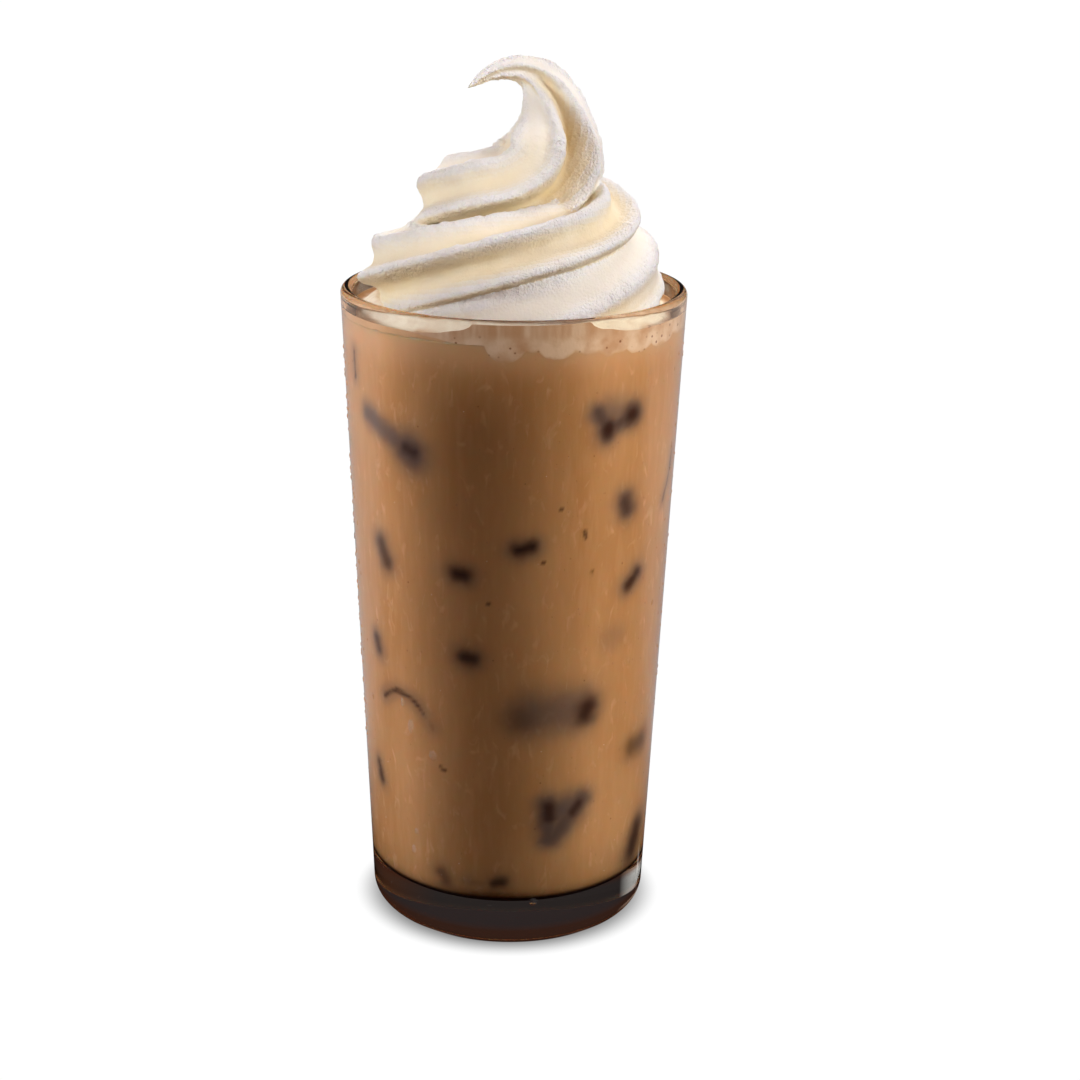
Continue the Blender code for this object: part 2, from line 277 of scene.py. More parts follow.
def mesh_of(name, points, faces):
    """A mesh from points in millimetres, with its faces turned outward."""
    mesh = bpy.data.meshes.new(name)
    mesh.from_pydata((np.asarray(points) * MM).tolist(), [], faces)
    form = bmesh.new()
    form.from_mesh(mesh)
    bmesh.ops.recalc_face_normals(form, faces=form.faces)
    form.to_mesh(mesh)
    form.free()
    return mesh


def band(first, second, sides):
    """Faces between two rings of that many points, given by where each ring starts."""
    return [(first + j, first + (j + 1) % sides, second + (j + 1) % sides, second + j) for j in range(sides)]


def turned(profile, sides):
    """Points and faces of a shape turned round Z. Its profile starts and ends on the axis, or is closed."""
    profile = np.array(profile, dtype=float)
    on_axis = profile[0, 0] == 0.0 and profile[-1, 0] == 0.0
    rings = profile[1:-1] if on_axis else profile
    angle = np.linspace(0.0, math.tau, sides, endpoint=False)
    far, high = rings[:, :1], np.repeat(rings[:, 1:], sides, axis=1)
    grid = np.stack([far * np.cos(angle), far * np.sin(angle), high], axis=-1)
    points = grid.reshape(-1, 3)
    faces = []
    count = len(rings)
    for i in range(count - 1 if on_axis else count):
        faces += band(i * sides, (i + 1) % count * sides, sides)
    if on_axis:
        points = np.vstack([points, [[0.0, 0.0, profile[0, 1]], [0.0, 0.0, profile[-1, 1]]]])
        first = count * sides
        last = (count - 1) * sides
        faces += [(first, (j + 1) % sides, j) for j in range(sides)]
        faces += [(first + 1, last + j, last + (j + 1) % sides) for j in range(sides)]
    return points, faces


def arc(centre_r, centre_z, radius, start, end, count):
    """Points on an arc of a profile, from one angle to another, in degrees."""
    turns = [math.radians(start + (end - start) * i / count) for i in range(count + 1)]
    return [(centre_r + radius * math.cos(turn), centre_z + radius * math.sin(turn)) for turn in turns]


def add(material, kind, feeds=None, stops=None, **settings):
    """A node with its settings, its colour stops and what feeds its inputs, each a socket or a value."""
    node = material.node_tree.nodes.new("ShaderNode" + kind)
    for name, value in settings.items():
        setattr(node, name, value)
    for i, (place, colour) in enumerate(stops or []):
        elements = node.color_ramp.elements
        stop = elements[i] if i < 2 else elements.new(place)
        stop.position = place
        stop.color = tint(colour) if isinstance(colour, str) else (colour, colour, colour, 1.0)
    for name, value in (feeds or {}).items():
        if isinstance(value, bpy.types.NodeSocket):
            material.node_tree.links.new(value, node.inputs[name])
        else:
            node.inputs[name].default_value = value
    return node


def bare(name):
    """A node material with nothing in it yet."""
    material = bpy.data.materials.new(name)
    material.use_nodes = True
    material.node_tree.nodes.clear()
    return material


def mix(material, share, first, second):
    """A colour between two, each a hex colour or a socket."""
    ends = [tint(end) if isinstance(end, str) else end for end in (first, second)]
    return add(material, "Mix", {0: share, 6: ends[0], 7: ends[1]}, data_type="RGBA").outputs[2]


def ramp(material, value, *stops):
    """A colour or a share that follows a value through its stops."""
    return add(material, "ValToRGB", {0: value}, stops=stops).outputs[0]


def kept(material, name):
    """What store() keeps on the mesh under that name."""
    return add(material, "Attribute", attribute_name=name).outputs["Fac"]


def noise(material, size, detail, upright=1.0, distortion=0.0):
    """Noise with lumps of that many millimetres. Less than 1 for upright draws them out upward."""
    place = add(material, "TexCoord").outputs["Object"]
    if upright != 1.0:
        place = add(material, "Mapping", {"Vector": place, "Scale": (1.0, 1.0, upright)}).outputs[0]
    return add(material, "TexNoise", {"Vector": place, "Scale": 1.0 / (size * MM), "Detail": detail,
                                      "Distortion": distortion}).outputs["Fac"]


def spotted(material, under, colour, apart, reach, share, few=0.0):
    """A colour with spots on it: their spacing in millimetres, how far each is full and where it ends, as
    shares of that, their strength, and how few places have one."""
    place = add(material, "TexCoord").outputs["Object"]
    cell = add(material, "TexVoronoi", {"Vector": place, "Scale": 1.0 / (apart * MM), "Randomness": 1.0})
    full, end = reach
    near = ramp(material, cell.outputs["Distance"], (full, share), (end, 0.0))
    chosen = add(material, "Math", {0: cell.outputs["Color"], 1: few}, operation="GREATER_THAN")
    amount = add(material, "Math", {0: near, 1: chosen.outputs[0]}, operation="MULTIPLY")
    return mix(material, amount.outputs[0], under, colour)


def let_lamps_through(material, surface, colour):
    """Ends a clear material: lamps shine through it on what is behind."""
    through = add(material, "BsdfTransparent", {"Color": tint(colour)})
    shadow = add(material, "LightPath").outputs["Is Shadow Ray"]
    both = add(material, "MixShader", {0: shadow, 1: surface.outputs[0], 2: through.outputs[0]})
    add(material, "OutputMaterial", {"Surface": both.outputs[0]})
    return material


def pressed_glass():
    """Soda-lime glass, pressed in a mould and fire polished: clear and bright, with a faint wave in it."""
    material = bare("pressed soda-lime glass")
    # waves 16 mm long and a fortieth of a millimetre deep
    wave = add(material, "Bump", {"Height": noise(material, 16.0, 1.0), "Strength": 1.0,
                                  "Distance": 0.025 * MM})
    # painted reflection: the round edge of the foot is tinted the drink's brown and glows dim brown, and
    # painted glints glow white where a soft box would meet it
    foot = kept(material, "foot")
    painted_glint = kept(material, "painted_glint")
    painted_glow_strength = add(material, "Math", {0: foot, 1: painted_glint}, operation="MAXIMUM")
    surface = add(material, "BsdfPrincipled", {"Base Color": mix(material, foot, "#FAFAF8", "#A5765C"),
                                               "Roughness": 0.0, "IOR": 1.52, "Transmission Weight": 1.0,
                                               "Normal": wave.outputs["Normal"],
                                               "Emission Color": mix(material, painted_glint, "#24120A", "#F2EAE6"),
                                               "Emission Strength": painted_glow_strength.outputs[0]})
    return let_lamps_through(material, surface, "#FAFAF8")


def condensed_water():
    """Water that has condensed on the cold glass: clear beads that bend what is behind them."""
    material = bare("condensed water")
    surface = add(material, "BsdfPrincipled", {"Base Color": tint("#FFFFFF"), "Roughness": 0.0, "IOR": 1.33,
                                               "Transmission Weight": 0.93})
    return let_lamps_through(material, surface, "#FFFFFF")


def iced_mocha():
    """Milk, coffee and cocoa, stirred: opaque and matt behind the glass, a bit streaky, dark at the ice."""
    material = bare("iced mocha")
    # slow streaks 22 mm wide and three times as long, where the cocoa hasn't mixed in evenly
    stirred = ramp(material, noise(material, 22.0, 2.0, upright=0.35), (0.30, "#AF7B4C"), (0.70, "#C08D5F"))
    # fine pale runs 1.6 mm wide, left by fat on the wall
    run = ramp(material, noise(material, 1.6, 3.0, upright=0.16), (0.46, 0.0), (0.80, 0.30))
    washed = mix(material, run, stirred, "#D09B70")
    # blots of milk 2.4 mm apart and twice as long, air bells with painted glints, and cocoa grains
    spread = noise(material, 2.4, 2.0, upright=0.45, distortion=0.8)
    blotted = mix(material, ramp(material, spread, (0.60, 0.0), (0.76, 0.40)), washed, "#DCAA82")
    with_painted_glints = spotted(material, blotted, "#F4E6D4", apart=2.6, reach=(0.02, 0.05), share=0.9, few=0.72)
    colour = spotted(material, with_painted_glints, "#6A3A1E", apart=6.0, reach=(0.02, 0.05), share=0.6)
    # paler toward the froth, hazy round the ice and nearly black where it touches the wall, and painted
    # shade, nearly black, where it turns under
    for name, shade in (("pale", "#CB9970"), ("haze", "#66534C"), ("dark_marks_and_painted_shade", "#371E16")):
        colour = mix(material, kept(material, name), colour, shade)
    # painted light: the underside glows a dim grey-brown, standing in for what the foot throws back
    surface = add(material, "BsdfPrincipled", {"Base Color": colour, "Roughness": 0.5, "IOR": 1.45,
                                               "Subsurface Weight": 0.6, "Subsurface Radius": (1.0, 0.4, 0.2),
                                               "Subsurface Scale": 5.0 * MM, "Specular IOR Level": 0.15,
                                               "Emission Color": tint("#2B2525"),
                                               "Emission Strength": kept(material, "under")})
    add(material, "OutputMaterial", {"Surface": surface.outputs[0]})
    return material


def milk_froth():
    """Steamed milk foam: fine, matt and pinkish tan, with a few open bubbles that show brown."""
    material = bare("milk froth")
    tone = ramp(material, noise(material, 5.0, 4.0), (0.35, "#BE8F6B"), (0.65, "#D8B496"))
    # bubbles 0.5 to 0.8 mm across, in three of four places 2 mm apart
    holed = spotted(material, tone, "#7A4326", apart=2.0, reach=(0.12, 0.20), share=0.85, few=0.25)
    thinned = mix(material, kept(material, "thin"), holed, "#C69468")
    # where it drained down the wall it left upright streaks 2.5 mm apart
    streaks = ramp(material, noise(material, 2.5, 2.0, upright=0.12), (0.35, "#BA8B66"), (0.68, "#D3AE90"))
    filmed = mix(material, kept(material, "drained"), thinned, streaks)
    blended = mix(material, kept(material, "creamy"), filmed, "#F0E2CC")
    # a fine grain of 0.6 mm
    bump = add(material, "Bump", {"Height": noise(material, 0.6, 2.0), "Strength": 0.6,
                                  "Distance": 0.12 * MM})
    surface = add(material, "BsdfPrincipled", {"Base Color": blended, "Roughness": 0.55, "IOR": 1.4,
                                               "Specular IOR Level": 0.3, "Normal": bump.outputs["Normal"]})
    add(material, "OutputMaterial", {"Surface": surface.outputs[0]})
    return material


def vanilla_soft_serve():
    """Soft serve drawn through a star nozzle: ivory, satin in the grooves and torn rough on the ridges."""
    material = bare("vanilla soft serve")
    # painted shade: the deeper in a groove, the yellower, and so are faces that look down
    tone = ramp(material, kept(material, "deep"), (0.06, "#FBFAF8"), (0.95, "#D0B57E"), (0.40, "#F3E6C8"))
    with_painted_shade = mix(material, kept(material, "low"), tone, "#EBD7A8")
    # warmer clouds of 9 mm
    warm = ramp(material, noise(material, 9.0, 2.0), (0.35, 0.0), (0.75, 0.35))
    warmed = mix(material, warm, with_painted_shade, "#F7EFDF")
    # ice crystals and air cells of about half a millimetre, coarsest on the ridges
    rough = add(material, "Math", {0: kept(material, "ridge"), 1: 0.7, 2: 0.3}, operation="MULTIPLY_ADD")
    bump = add(material, "Bump", {"Height": noise(material, 0.55, 3.0), "Strength": rough.outputs[0],
                                  "Distance": 1.0 * MM})
    surface = add(material, "BsdfPrincipled", {"Base Color": warmed, "Roughness": 0.5, "IOR": 1.4,
                                               "Subsurface Weight": 0.15,
                                               "Subsurface Radius": (1.0, 0.7, 0.4),
                                               "Subsurface Scale": 1.2 * MM, "Specular IOR Level": 0.35,
                                               "Normal": bump.outputs["Normal"]})
    add(material, "OutputMaterial", {"Surface": surface.outputs[0]})
    return material


def tray_ice():
    """Cubes frozen in a tray: clear at the edges, whitened inside by trapped air."""
    material = bare("tray ice")
    tone = ramp(material, noise(material, 6.0, 3.0), (0.4, "#D9DEE0"), (0.7, "#F2F5F6"))
    surface = add(material, "BsdfPrincipled", {"Base Color": tone, "Roughness": 0.05, "IOR": 1.31,
                                               "Transmission Weight": 0.9})
    add(material, "OutputMaterial", {"Surface": surface.outputs[0]})
    return material


def store(mesh, name, values):
    """A value for each point of a mesh, for its material to read."""
    held = mesh.attributes.new(name, "FLOAT", "POINT")
    held.data.foreach_set("value", np.clip(values, 0.0, 1.0).astype(np.float32))


def points_of(mesh):
    flat = np.empty(len(mesh.vertices) * 3, dtype=np.float32)
    mesh.vertices.foreach_get("co", flat)
    return flat.reshape(-1, 3).astype(float) / MM


def make_glass():
    """The tumbler, with round rim, thick foot and the shallow hollow under it."""
    foot = arc(FOOT_RADIUS - FOOT_HEIGHT, FOOT_HEIGHT, FOOT_HEIGHT, 0, -90, 16)
    rim = arc(RIM_RADIUS - RIM_ROUND, HEIGHT - RIM_ROUND, RIM_ROUND, 180, 0, 18)
    bowl_side = inner_radius(FLOOR_TOP + FLOOR_ROUND)
    bowl = arc(bowl_side - FLOOR_ROUND, FLOOR_TOP + FLOOR_ROUND, FLOOR_ROUND, -90, 0, 14)
    heights = [30.0, 50.0, 70.0, 90.0, 110.0, 130.0, 150.0]
    inside = [(inner_radius(z), z) for z in heights]
    outside = [(outer_radius(z), z) for z in reversed([6.0, 7.0, 9.0, 12.0, 15.0, 18.0, 21.0] + heights)]
    punt = [(PUNT_RADIUS, 0.0), (PUNT_RADIUS - 0.7, 0.35), (PUNT_RADIUS - 1.8, PUNT_DEPTH * 0.9),
            (PUNT_RADIUS - 3.0, PUNT_DEPTH)]
    profile = [(0.0, FLOOR_TOP)] + bowl + inside + rim + outside + foot + punt + [(0.0, PUNT_DEPTH)]
    points, faces = turned(profile, GLASS_SIDES)
    mesh = mesh_of("tumbler", points, faces)
    points = points_of(mesh)
    outer = np.hypot(points[:, 0], points[:, 1]) > PUNT_RADIUS + 1.0
    # painted reflection: the foot's round edge gets the drink's brown and a dim brown glow
    store(mesh, "foot", outer * smoothstep(6.6, 5.4, points[:, 2]))
    degrees = np.degrees(np.arctan2(points[:, 1], points[:, 0])) % 360.0
    # painted glints that glow white on the foot
    painted_glint = np.zeros(len(points))
    for middle, half_width, height, half_height, bright in PAINTED_GLINTS:
        off = ((degrees - middle) / half_width) ** 2 + ((points[:, 2] - height) / half_height) ** 2
        painted_glint = np.maximum(painted_glint, outer * bright * np.exp(-off))
    store(mesh, "painted_glint", painted_glint)
    tumbler = placed("tumbler", mesh, pressed_glass())
    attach(tumbler, "root")
    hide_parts("glass")


def from_stroke(points, angle, height, stroke):
    """How far along the wall each point of the drink's side is from a stroke, in millimetres."""
    away = (np.arctan2(points[:, 1], points[:, 0]) - math.radians(angle) + math.pi) % math.tau - math.pi
    flat = np.column_stack([away * np.hypot(points[:, 0], points[:, 1]), points[:, 2] - height])
    nearest = np.full(len(points), 1e3)
    for start, end in zip(np.array(stroke, float), np.array(stroke, float)[1:]):
        run = end - start
        share = np.clip((flat - start) @ run / (run @ run), 0.0, 1.0)
        nearest = np.minimum(nearest, np.linalg.norm(flat - start - share[:, None] * run, axis=1))
    return nearest


def make_drink():
    """The mocha: a filling that reaches just into the wall, with the marks of the ice behind it."""
    bowl_side = inner_radius(FLOOR_TOP + FLOOR_ROUND) - FLOOR_ROUND
    bowl = arc(bowl_side, FLOOR_TOP + FLOOR_ROUND, FLOOR_ROUND + INTO_WALL, -90, 0, 12)
    top = LEVEL - LID_BELOW
    heights = np.linspace(FLOOR_TOP + FLOOR_ROUND + 0.9, top, 160)
    side = [(inner_radius(z) + INTO_WALL, z) for z in heights]
    middle = [(r, FLOOR_TOP - INTO_WALL) for r in (8.0, 16.0, 23.0)]
    low = top - LID_HOLLOW
    lid = [(inner_radius(top) - 1.2, low), (26.0, low), (14.0, low)]
    points, faces = turned([(0.0, FLOOR_TOP - INTO_WALL)] + middle + bowl + side + lid + [(0.0, low)], 420)
    mesh = mesh_of("mocha", points, faces)
    points = points_of(mesh)
    wobble = 0.35 * lumps(points, 2.4, 3) + 0.2 * lumps(points, 1.0, 5)
    dark_marks_and_painted_shade = np.zeros(len(points))
    haze = np.zeros(len(points))
    for angle, height, half_width, stroke, dark, grey in ICE_TOUCHES:
        away = np.maximum(from_stroke(points, angle, height, stroke) + wobble, 0.0)
        dark_marks_and_painted_shade = np.maximum(dark_marks_and_painted_shade, dark * np.exp(-(away / (CORE_REACH * half_width)) ** CORE_EDGE))
        haze = np.maximum(haze, grey * np.exp(-(away / (half_width + HAZE_REACH)) ** HAZE_EDGE))
    for angle, height, half_width, stroke in FLECKS:
        away = from_stroke(points, angle, height, stroke) - half_width
        dark_marks_and_painted_shade = np.maximum(dark_marks_and_painted_shade, 0.8 * smoothstep(0.4, -0.1, away))
    # painted shade: the drink is painted darkest where it turns under, and its underside, which only shows as
    # a dim reflection in the foot, gets a painted dim glow
    dark_marks_and_painted_shade = np.maximum(dark_marks_and_painted_shade, smoothstep(FLOOR_TOP + 2.6, FLOOR_TOP + 1.2, points[:, 2]))
    store(mesh, "dark_marks_and_painted_shade", dark_marks_and_painted_shade)
    store(mesh, "haze", haze)
    # the underside's painted dim glow
    store(mesh, "under", (points[:, 2] < FLOOR_TOP) * 1.0)
    # it is paler in the top 11 mm, where milk has risen
    rising = points[:, 2] + 1.5 * lumps(points, 9.0, 8)
    store(mesh, "pale", 0.9 * smoothstep(LEVEL - 11.0, LEVEL - 2.0, rising))
    drink = placed("mocha", mesh, iced_mocha())
    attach(drink, "root")
    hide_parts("drink")


def make_ice():
    """Cubes of 20 mm afloat inside the mocha, each with a corner or an edge near a mark."""
    form = bmesh.new()
    for angle, height, turn in ICE_SPOTS:
        made = bmesh.ops.create_cube(form, size=ICE_SIZE * MM)
        tip = Matrix.Rotation(math.radians(turn * ICE_TIP), 4, "X")
        spin = Matrix.Rotation(math.radians(turn), 4, "Z") @ tip
        a = math.radians(angle)
        reach = (inner_radius(height) - ICE_INSIDE) * MM
        shift = Matrix.Translation((reach * math.cos(a), reach * math.sin(a), height * MM))
        bmesh.ops.transform(form, matrix=shift @ spin, verts=made["verts"])
    bmesh.ops.bevel(form, geom=form.edges[:], offset=2.5 * MM, segments=3, affect="EDGES", profile=0.5)
    mesh = bpy.data.meshes.new("ice")
    form.to_mesh(mesh)
    form.free()
    ice = placed("ice", mesh, tray_ice())
    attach(ice, "root")


def froth_depth(angle):
    """How deep the froth reaches at the wall: in lobes at the front and right, and a line elsewhere."""
    depth = np.zeros_like(angle)
    for middle, half_width, deep in FROTH_LOBES:
        lobe = np.sqrt(np.clip(1.0 - ((angle - middle) / half_width) ** 2, 0.0, 1.0))
        depth = np.maximum(depth, deep * lobe)
    return FROTH_THIN + depth


def make_froth():
    """The foam: a band behind the glass with a lobed lower edge, and a bubbly ring round the soft serve."""
    sides = 720
    side_rows = 22
    top_radii = np.concatenate([np.linspace(1.0, 0.965, 6)[1:], np.linspace(0.95, 0.62, 34)])
    angle = np.linspace(0.0, math.tau, sides, endpoint=False)
    degrees = np.degrees(angle)
    edge = np.stack([np.cos(angle) * 38.0, np.sin(angle) * 38.0, np.zeros(sides)], axis=-1)
    depth = froth_depth(degrees) + 0.4 * lumps(edge, 3.2, 2) + 0.25 * lumps(edge, 1.3, 4)
    depth = np.maximum(depth, 0.9)
    rows = []
    for i in range(side_rows):
        z = LEVEL + 0.4 - (depth + 0.4) * (1.0 - i / (side_rows - 1))
        r = inner_radius(z) + INTO_WALL + 0.06 * min(i / 3.0, 1.0) - 0.02
        rows.append(np.stack([r * np.cos(angle), r * np.sin(angle), z], axis=-1))
    wall = inner_radius(LEVEL) + INTO_WALL
    for share in top_radii:
        r = np.full(sides, wall * share)
        # it climbs 0.4 mm up the wall
        z = np.full(sides, LEVEL - 0.5 + 0.9 * math.exp(-(wall - wall * share) / 0.7))
        rows.append(np.stack([r * np.cos(angle), r * np.sin(angle), z], axis=-1))
    inner = rows[-1].copy()
    inner[:, 2] -= 4.0
    rows.append(inner)
    low = rows[0].copy()
    low[:, :2] *= 0.98
    rows.append(low)
    points = np.concatenate(rows)
    count = len(rows)
    above = points[:, 2] - LEVEL + np.tile(depth, count)
    faces = []
    for i in range(count):
        faces += band(i * sides, (i + 1) % count * sides, sides)
    top = np.zeros(len(points), dtype=bool)
    top[side_rows * sides:(side_rows + len(top_radii)) * sides] = True
    far = np.hypot(points[:, 0], points[:, 1])
    settle = smoothstep(wall, wall - 2.0, far) * top
    collar = COLLAR_RISE * smoothstep(38.0, 33.0, far)
    points[:, 2] += settle * (0.35 * lumps(points, 5.0, 6) + 0.18 * lumps(points, 1.6, 7) + collar)
    mesh = mesh_of("froth", points, faces)
    points = points_of(mesh)
    degrees = np.degrees(np.arctan2(points[:, 1], points[:, 0])) % 360.0
    thick = (froth_depth(degrees) - FROTH_THIN) / 4.0
    far = np.hypot(points[:, 0], points[:, 1])
    # the drink shows through it where it is thin and along its lower edge
    shallow = smoothstep(0.5, 0.1, thick + 0.2 * lumps(points, 4.0, 9))
    edge = smoothstep(1.1, 0.0, above + 0.5 * lumps(points, 1.4, 12))
    store(mesh, "thin", 0.8 * np.maximum(shallow, edge))
    creamy = smoothstep(38.8, 36.2, far + 1.2 * lumps(points, 3.0, 11)) * (0.8 + 0.2 * lumps(points, 1.3, 13))
    store(mesh, "creamy", creamy * (points[:, 2] > LEVEL - 2.0))
    store(mesh, "drained", np.zeros(len(points)))
    foam = placed("foam", mesh, milk_froth())
    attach(foam, "root")
    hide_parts("froth")


def make_film():
    """The film that the foam left on the wall between its top and the rim, at the middle of the front."""
    sides, rows = 140, 20
    degrees = np.linspace(FILM_MIDDLE - 42.0, FILM_MIDDLE + 42.0, sides)
    angle = np.radians(degrees)
    edge = np.stack([degrees * 0.7, degrees * 0.0, degrees * 0.0], axis=-1)
    swell = np.exp(-((degrees - FILM_MIDDLE) / FILM_SPREAD) ** 2) * (1.0 + 0.12 * lumps(edge, 3.0, 31))
    climb = FILM_HEIGHT * np.minimum(1.8 * swell, 1.0)
    below = 1.4 * smoothstep(0.0, 2.0, climb) - 0.2
    points = []
    for layer in (0.0, 0.15):
        for i in range(rows):
            z = LEVEL - below + (climb + below) * i / (rows - 1)
            r = inner_radius(z) + INTO_WALL + 0.08 - layer
            points.append(np.stack([r * np.cos(angle), r * np.sin(angle), z], axis=-1))
    points = np.concatenate(points)
    faces = []
    half = rows * sides
    for i in range(rows - 1):
        for j in range(sides - 1):
            k = i * sides + j
            faces.append((k, k + 1, k + sides + 1, k + sides))
            faces.append((half + k, half + k + sides, half + k + sides + 1, half + k + 1))
    mesh = mesh_of("foam_film", points, faces)
    store(mesh, "drained", smoothstep(LEVEL - 1.0, LEVEL + 1.8, points_of(mesh)[:, 2]))
    film = placed("foam_film", mesh, bpy.data.materials["milk froth"])
    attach(film, "root")


def smooth_through(at, values, where):
    """A smooth curve through the given values."""
    slope = np.gradient(values, at)
    i = np.clip(np.searchsorted(at, where, side="right") - 1, 0, len(at) - 2)
    step = at[i + 1] - at[i]
    t = np.clip((where - at[i]) / step, 0.0, 1.0)
    start = (2 * t ** 3 - 3 * t ** 2 + 1) * values[i] + (t ** 3 - 2 * t ** 2 + t) * step * slope[i]
    end = (3 * t ** 2 - 2 * t ** 3) * values[i + 1] + (t ** 3 - t ** 2) * step * slope[i + 1]
    return start + end


def rope_path(stations):
    """Centre, radius, twist, deep side and cleft of the rope at even steps along it, and those steps."""
    coil = np.array(COIL)
    turns = np.linspace(coil[0, 0], coil[-1, 0], 70)
    around, rope, twist, height, deep = (smooth_through(coil[:, 0], coil[:, i], turns) for i in range(1, 6))
    angle = np.radians(270.0 + 360.0 * turns)
    x = COIL_CENTRE_X + around * np.cos(angle)
    y = around * np.sin(angle)
    keys = np.vstack([np.column_stack([x, y, height, rope, twist, deep, 0.0 * x]), np.array(PEAK)])
    along = np.concatenate([[0.0], np.cumsum(np.linalg.norm(np.diff(keys[:, :3], axis=0), axis=1))])
    where = np.linspace(0.0, along[-1], stations)
    return np.column_stack([smooth_through(along, keys[:, i], where) for i in range(7)]), where


def groove_depth(star, path):
    """Depth of the grooves as a share of the rope's radius: more on one side, most in the peak's cleft."""
    away = np.degrees((star - np.radians(path[:, 5])[:, None] + math.pi) % math.tau - math.pi)
    cleft = np.clip(path[:, 6], 0.0, 1.0)[:, None]
    middle = CLEFT_DEEPER * np.exp(-(away / CLEFT_WIDTH) ** 2)
    beside = BESIDE_SHALLOWER * np.exp(-((np.abs(away) - BESIDE_CLEFT) / BESIDE_WIDTH) ** 2)
    return GROOVE * (1.0 + DEEP_SIDE * np.cos(np.radians(away))) * (1.0 + cleft * (middle - beside))


def rope_skin(stations, sides):
    """Points of the rope's skin in rings; how far up a ridge each is, its place and its depth in a groove."""
    path, where = rope_path(stations)
    centre = path[:, :3]
    forward = np.gradient(centre, axis=0)
    forward /= np.linalg.norm(forward, axis=1, keepdims=True)
    outward = np.zeros_like(centre)
    start = centre[0] - np.array([COIL_CENTRE_X, 0.0, centre[0, 2]])
    for i in range(stations):
        flat = start - forward[i] * (start @ forward[i])
        outward[i] = flat / np.linalg.norm(flat)
        start = outward[i]
    upward = np.cross(outward, forward)
    round_it = np.linspace(0.0, math.tau, sides, endpoint=False)
    star = round_it[None] - np.radians(path[:, 4])[:, None]
    ridge = (0.5 + 0.5 * np.cos(LOBES * star)) ** GROOVE_EDGE
    radius = np.maximum(path[:, 3], 0.1)[:, None] * (1.0 - groove_depth(star, path) * (1.0 - ridge))
    side, rise = np.cos(round_it)[None, :, None], np.sin(round_it)[None, :, None]
    across = side * outward[:, None] + rise * upward[:, None]
    skin = centre[:, None] + radius[..., None] * across
    along = np.repeat(where[:, None], sides, axis=1)
    place = np.stack([along, star * path[:, 3][:, None], np.zeros_like(star)], axis=-1)
    deep = np.maximum(path[:, 3], 0.1)[:, None] * groove_depth(star, path) * (1.0 - ridge)
    return skin, ridge, place, deep


def make_soft_serve():
    """The swirl: one rope laid in a coil and drawn up to a hooked tip, blended where its turns meet."""
    skin, ridge, place, deep = rope_skin(ROPE_STATIONS, ROPE_SIDES)
    sides = ROPE_SIDES
    count = ROPE_STATIONS
    faces = []
    for i in range(count - 1):
        faces += band(i * sides, (i + 1) * sides, sides)
    faces.append(tuple(range(sides)))
    faces.append(tuple((count - 1) * sides + j for j in range(sides)))
    rope = placed("rope", mesh_of("rope", skin.reshape(-1, 3), faces), None)
    blend = rope.modifiers.new("blend", "REMESH")
    blend.mode = "VOXEL"
    blend.voxel_size = BLEND * MM
    bpy.context.view_layer.update()
    mesh = bpy.data.meshes.new_from_object(rope.evaluated_get(bpy.context.evaluated_depsgraph_get()))
    bpy.data.objects.remove(rope)
    points = points_of(mesh)
    normals = np.empty(len(points) * 3, dtype=np.float32)
    mesh.vertices.foreach_get("normal", normals)
    normals = normals.reshape(-1, 3).astype(float)
    # every second point round the rope is enough to find a place on it
    near = skin[:, ::2].reshape(-1, 3)
    tree = kdtree.KDTree(len(near))
    for i, point in enumerate(near):
        tree.insert(point, i)
    tree.balance()
    found = np.array([tree.find(point)[1] for point in points])
    up_ridge = ridge[:, ::2].reshape(-1)[found]
    along = place[:, ::2].reshape(-1, 3)[found]
    # tears run across the ridges: 1.1 mm apart along the rope and 3 mm long round it
    torn = lumps(along * [1.0, 0.35, 1.0], 1.1, 21) + 0.7 * lumps(points, 1.0, 22)
    soft = lumps(points, 5.0, 23)
    rough = 0.35 + smoothstep(0.15, 0.8, up_ridge) * (0.65 + 0.35 * lumps(points, 7.0, 24))
    points += normals * (TEAR * torn * rough + 0.22 * soft + 0.06 * lumps(points, 1.8, 25))[:, None]
    mesh.vertices.foreach_set("co", (points * MM).astype(np.float32).ravel())
    mesh.update()
    store(mesh, "ridge", up_ridge)
    # painted shade, yellower the deeper a groove is
    store(mesh, "deep", deep[:, ::2].reshape(-1)[found] / PAINTED_SHADE_FULL_DEPTH)
    # painted shade: faces that look down are painted yellower
    store(mesh, "low", 0.75 * smoothstep(0.15, -0.65, normals[:, 2] + 0.1 * lumps(points, 4.0, 26)))
    serve = placed("swirl", mesh, vanilla_soft_serve())
    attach(serve, "root")
    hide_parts("soft_serve")
    return serve


def scattered(angles, heights, widths, shapes):
    """Beads of water: direction, height, width and length, from their length as a share of the width."""
    return list(zip(angles, heights, widths, widths * shapes))


